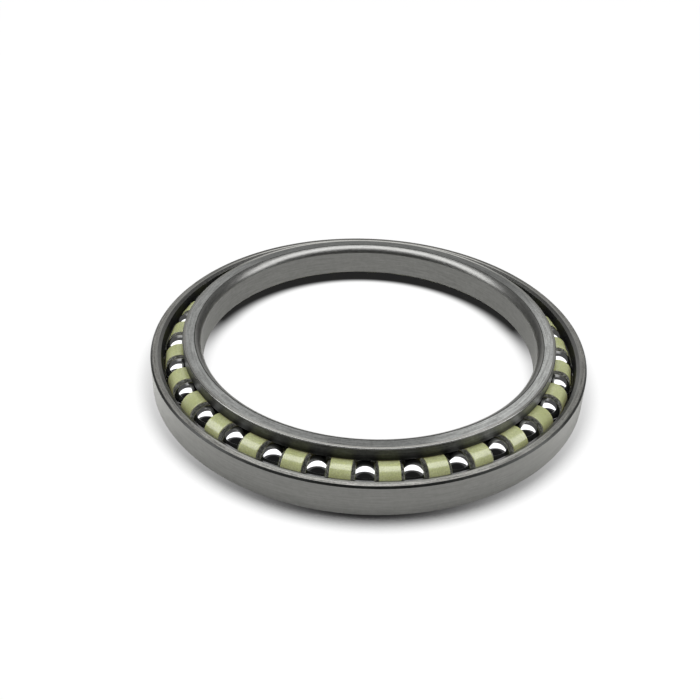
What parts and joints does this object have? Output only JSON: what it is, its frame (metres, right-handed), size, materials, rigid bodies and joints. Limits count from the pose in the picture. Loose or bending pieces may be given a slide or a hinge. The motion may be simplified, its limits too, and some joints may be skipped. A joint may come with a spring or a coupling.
{
  "type": "angular contact ball bearing",
  "caption": "Thin-section angular contact ball bearing: steel rings turning on a row of polished balls kept apart by pale green nylon spacers.",
  "frame": {"origin": "centre of the outer ring's back face, on the bearing's axis, at the bottom", "axes": "+Z along the bearing's axis, up through the inner ring's back face; the first ball lies near -Y"},
  "size_m": [0.31, 0.31, 0.034],
  "materials": {
    "ring_steel": "ground and honed through-hardened bearing steel, satin, bright at the turned corners",
    "ball_steel": "lapped and polished bearing steel, mirror bright",
    "spacer_nylon": "moulded natural nylon, pale yellow green, smooth and faintly translucent"
  },
  "bodies": {
    "outer_ring": {"outer_ring": "ring_steel"},
    "inner_ring": {"inner_ring": "ring_steel"},
    "spacer_train": {"spacer_01": "spacer_nylon", "spacer_02": "spacer_nylon", "spacer_03": "spacer_nylon", "spacer_04": "spacer_nylon", "spacer_05": "spacer_nylon", "spacer_06": "spacer_nylon", "spacer_07": "spacer_nylon", "spacer_08": "spacer_nylon", "spacer_09": "spacer_nylon", "spacer_10": "spacer_nylon", "spacer_11": "spacer_nylon", "spacer_12": "spacer_nylon", "spacer_13": "spacer_nylon", "spacer_14": "spacer_nylon", "spacer_15": "spacer_nylon", "spacer_16": "spacer_nylon", "spacer_17": "spacer_nylon", "spacer_18": "spacer_nylon", "spacer_19": "spacer_nylon", "spacer_20": "spacer_nylon", "spacer_21": "spacer_nylon", "spacer_22": "spacer_nylon", "spacer_23": "spacer_nylon", "spacer_24": "spacer_nylon", "spacer_25": "spacer_nylon", "spacer_26": "spacer_nylon", "spacer_27": "spacer_nylon", "spacer_28": "spacer_nylon", "spacer_29": "spacer_nylon"},
    "ball_01": {"ball_01": "ball_steel"},
    "ball_02": {"ball_02": "ball_steel"},
    "ball_03": {"ball_03": "ball_steel"},
    "ball_04": {"ball_04": "ball_steel"},
    "ball_05": {"ball_05": "ball_steel"},
    "ball_06": {"ball_06": "ball_steel"},
    "ball_07": {"ball_07": "ball_steel"},
    "ball_08": {"ball_08": "ball_steel"},
    "ball_09": {"ball_09": "ball_steel"},
    "ball_10": {"ball_10": "ball_steel"},
    "ball_11": {"ball_11": "ball_steel"},
    "ball_12": {"ball_12": "ball_steel"},
    "ball_13": {"ball_13": "ball_steel"},
    "ball_14": {"ball_14": "ball_steel"},
    "ball_15": {"ball_15": "ball_steel"},
    "ball_16": {"ball_16": "ball_steel"},
    "ball_17": {"ball_17": "ball_steel"},
    "ball_18": {"ball_18": "ball_steel"},
    "ball_19": {"ball_19": "ball_steel"},
    "ball_20": {"ball_20": "ball_steel"},
    "ball_21": {"ball_21": "ball_steel"},
    "ball_22": {"ball_22": "ball_steel"},
    "ball_23": {"ball_23": "ball_steel"},
    "ball_24": {"ball_24": "ball_steel"},
    "ball_25": {"ball_25": "ball_steel"},
    "ball_26": {"ball_26": "ball_steel"},
    "ball_27": {"ball_27": "ball_steel"},
    "ball_28": {"ball_28": "ball_steel"},
    "ball_29": {"ball_29": "ball_steel"}
  },
  "joints": [
    {"name": "inner_ring_turn", "type": "hinge", "parent": "outer_ring", "child": "inner_ring", "pos_m": [0, 0, 0.0146], "axis": [0, 0, 1], "continuous": true},
    {"name": "spacer_train_turn", "type": "hinge", "parent": "outer_ring", "child": "spacer_train", "pos_m": [0, 0, 0.0146], "axis": [0, 0, 1], "continuous": true},
    {"name": "ball_01_roll", "type": "hinge", "parent": "spacer_train", "child": "ball_01", "pos_m": [-0.00142, -0.13519, 0.0146], "axis": [-0.0067, -0.6428, 0.766], "continuous": true},
    {"name": "ball_02_roll", "type": "hinge", "parent": "spacer_train", "child": "ball_02", "pos_m": [0.02768, -0.13234, 0.0146], "axis": [0.1316, -0.6292, 0.766], "continuous": true},
    {"name": "ball_03_roll", "type": "hinge", "parent": "spacer_train", "child": "ball_03", "pos_m": [0.05548, -0.12329, 0.0146], "axis": [0.2638, -0.5862, 0.766], "continuous": true},
    {"name": "ball_04_roll", "type": "hinge", "parent": "spacer_train", "child": "ball_04", "pos_m": [0.08069, -0.10848, 0.0146], "axis": [0.3836, -0.5158, 0.766], "continuous": true},
    {"name": "ball_05_roll", "type": "hinge", "parent": "spacer_train", "child": "ball_05", "pos_m": [0.10212, -0.0886, 0.0146], "axis": [0.4855, -0.4212, 0.766], "continuous": true},
    {"name": "ball_06_roll", "type": "hinge", "parent": "spacer_train", "child": "ball_06", "pos_m": [0.11878, -0.06458, 0.0146], "axis": [0.5647, -0.307, 0.766], "continuous": true},
    {"name": "ball_07_roll", "type": "hinge", "parent": "spacer_train", "child": "ball_07", "pos_m": [0.12989, -0.03753, 0.0146], "axis": [0.6175, -0.1784, 0.766], "continuous": true},
    {"name": "ball_08_roll", "type": "hinge", "parent": "spacer_train", "child": "ball_08", "pos_m": [0.13492, -0.00873, 0.0146], "axis": [0.6414, -0.0415, 0.766], "continuous": true},
    {"name": "ball_09_roll", "type": "hinge", "parent": "spacer_train", "child": "ball_09", "pos_m": [0.13364, 0.02047, 0.0146], "axis": [0.6354, 0.0973, 0.766], "continuous": true},
    {"name": "ball_10_roll", "type": "hinge", "parent": "spacer_train", "child": "ball_10", "pos_m": [0.12611, 0.04872, 0.0146], "axis": [0.5996, 0.2317, 0.766], "continuous": true},
    {"name": "ball_11_roll", "type": "hinge", "parent": "spacer_train", "child": "ball_11", "pos_m": [0.11269, 0.0747, 0.0146], "axis": [0.5358, 0.3551, 0.766], "continuous": true},
    {"name": "ball_12_roll", "type": "hinge", "parent": "spacer_train", "child": "ball_12", "pos_m": [0.094, 0.09718, 0.0146], "axis": [0.4469, 0.462, 0.766], "continuous": true},
    {"name": "ball_13_roll", "type": "hinge", "parent": "spacer_train", "child": "ball_13", "pos_m": [0.07091, 0.11511, 0.0146], "axis": [0.3371, 0.5473, 0.766], "continuous": true},
    {"name": "ball_14_roll", "type": "hinge", "parent": "spacer_train", "child": "ball_14", "pos_m": [0.04451, 0.12766, 0.0146], "axis": [0.2116, 0.607, 0.766], "continuous": true},
    {"name": "ball_15_roll", "type": "hinge", "parent": "spacer_train", "child": "ball_15", "pos_m": [0.01602, 0.13425, 0.0146], "axis": [0.0762, 0.6383, 0.766], "continuous": true},
    {"name": "ball_16_roll", "type": "hinge", "parent": "spacer_train", "child": "ball_16", "pos_m": [-0.01321, 0.13455, 0.0146], "axis": [-0.0628, 0.6397, 0.766], "continuous": true},
    {"name": "ball_17_roll", "type": "hinge", "parent": "spacer_train", "child": "ball_17", "pos_m": [-0.04183, 0.12857, 0.0146], "axis": [-0.1989, 0.6113, 0.766], "continuous": true},
    {"name": "ball_18_roll", "type": "hinge", "parent": "spacer_train", "child": "ball_18", "pos_m": [-0.06849, 0.11657, 0.0146], "axis": [-0.3256, 0.5542, 0.766], "continuous": true},
    {"name": "ball_19_roll", "type": "hinge", "parent": "spacer_train", "child": "ball_19", "pos_m": [-0.09194, 0.09912, 0.0146], "axis": [-0.4371, 0.4713, 0.766], "continuous": true},
    {"name": "ball_20_roll", "type": "hinge", "parent": "spacer_train", "child": "ball_20", "pos_m": [-0.1111, 0.07704, 0.0146], "axis": [-0.5282, 0.3663, 0.766], "continuous": true},
    {"name": "ball_21_roll", "type": "hinge", "parent": "spacer_train", "child": "ball_21", "pos_m": [-0.12507, 0.05136, 0.0146], "axis": [-0.5946, 0.2442, 0.766], "continuous": true},
    {"name": "ball_22_roll", "type": "hinge", "parent": "spacer_train", "child": "ball_22", "pos_m": [-0.13318, 0.02327, 0.0146], "axis": [-0.6332, 0.1106, 0.766], "continuous": true},
    {"name": "ball_23_roll", "type": "hinge", "parent": "spacer_train", "child": "ball_23", "pos_m": [-0.13507, -0.00591, 0.0146], "axis": [-0.6422, -0.0281, 0.766], "continuous": true},
    {"name": "ball_24_roll", "type": "hinge", "parent": "spacer_train", "child": "ball_24", "pos_m": [-0.13064, -0.0348, 0.0146], "axis": [-0.6211, -0.1655, 0.766], "continuous": true},
    {"name": "ball_25_roll", "type": "hinge", "parent": "spacer_train", "child": "ball_25", "pos_m": [-0.12011, -0.06207, 0.0146], "axis": [-0.571, -0.2951, 0.766], "continuous": true},
    {"name": "ball_26_roll", "type": "hinge", "parent": "spacer_train", "child": "ball_26", "pos_m": [-0.10396, -0.08644, 0.0146], "axis": [-0.4942, -0.411, 0.766], "continuous": true},
    {"name": "ball_27_roll", "type": "hinge", "parent": "spacer_train", "child": "ball_27", "pos_m": [-0.08294, -0.10677, 0.0146], "axis": [-0.3943, -0.5076, 0.766], "continuous": true},
    {"name": "ball_28_roll", "type": "hinge", "parent": "spacer_train", "child": "ball_28", "pos_m": [-0.05805, -0.1221, 0.0146], "axis": [-0.276, -0.5805, 0.766], "continuous": true},
    {"name": "ball_29_roll", "type": "hinge", "parent": "spacer_train", "child": "ball_29", "pos_m": [-0.03045, -0.13173, 0.0146], "axis": [-0.1447, -0.6263, 0.766], "continuous": true}
  ],
  "couplings": [
    {"joint": "spacer_train_turn", "follows": "inner_ring_turn", "ratio": 0.47077},
    {"joint": "ball_01_roll", "follows": "inner_ring_turn", "ratio": -6.5286},
    {"joint": "ball_02_roll", "follows": "inner_ring_turn", "ratio": -6.5286},
    {"joint": "ball_03_roll", "follows": "inner_ring_turn", "ratio": -6.5286},
    {"joint": "ball_04_roll", "follows": "inner_ring_turn", "ratio": -6.5286},
    {"joint": "ball_05_roll", "follows": "inner_ring_turn", "ratio": -6.5286},
    {"joint": "ball_06_roll", "follows": "inner_ring_turn", "ratio": -6.5286},
    {"joint": "ball_07_roll", "follows": "inner_ring_turn", "ratio": -6.5286},
    {"joint": "ball_08_roll", "follows": "inner_ring_turn", "ratio": -6.5286},
    {"joint": "ball_09_roll", "follows": "inner_ring_turn", "ratio": -6.5286},
    {"joint": "ball_10_roll", "follows": "inner_ring_turn", "ratio": -6.5286},
    {"joint": "ball_11_roll", "follows": "inner_ring_turn", "ratio": -6.5286},
    {"joint": "ball_12_roll", "follows": "inner_ring_turn", "ratio": -6.5286},
    {"joint": "ball_13_roll", "follows": "inner_ring_turn", "ratio": -6.5286},
    {"joint": "ball_14_roll", "follows": "inner_ring_turn", "ratio": -6.5286},
    {"joint": "ball_15_roll", "follows": "inner_ring_turn", "ratio": -6.5286},
    {"joint": "ball_16_roll", "follows": "inner_ring_turn", "ratio": -6.5286},
    {"joint": "ball_17_roll", "follows": "inner_ring_turn", "ratio": -6.5286},
    {"joint": "ball_18_roll", "follows": "inner_ring_turn", "ratio": -6.5286},
    {"joint": "ball_19_roll", "follows": "inner_ring_turn", "ratio": -6.5286},
    {"joint": "ball_20_roll", "follows": "inner_ring_turn", "ratio": -6.5286},
    {"joint": "ball_21_roll", "follows": "inner_ring_turn", "ratio": -6.5286},
    {"joint": "ball_22_roll", "follows": "inner_ring_turn", "ratio": -6.5286},
    {"joint": "ball_23_roll", "follows": "inner_ring_turn", "ratio": -6.5286},
    {"joint": "ball_24_roll", "follows": "inner_ring_turn", "ratio": -6.5286},
    {"joint": "ball_25_roll", "follows": "inner_ring_turn", "ratio": -6.5286},
    {"joint": "ball_26_roll", "follows": "inner_ring_turn", "ratio": -6.5286},
    {"joint": "ball_27_roll", "follows": "inner_ring_turn", "ratio": -6.5286},
    {"joint": "ball_28_roll", "follows": "inner_ring_turn", "ratio": -6.5286},
    {"joint": "ball_29_roll", "follows": "inner_ring_turn", "ratio": -6.5286}
  ]
}
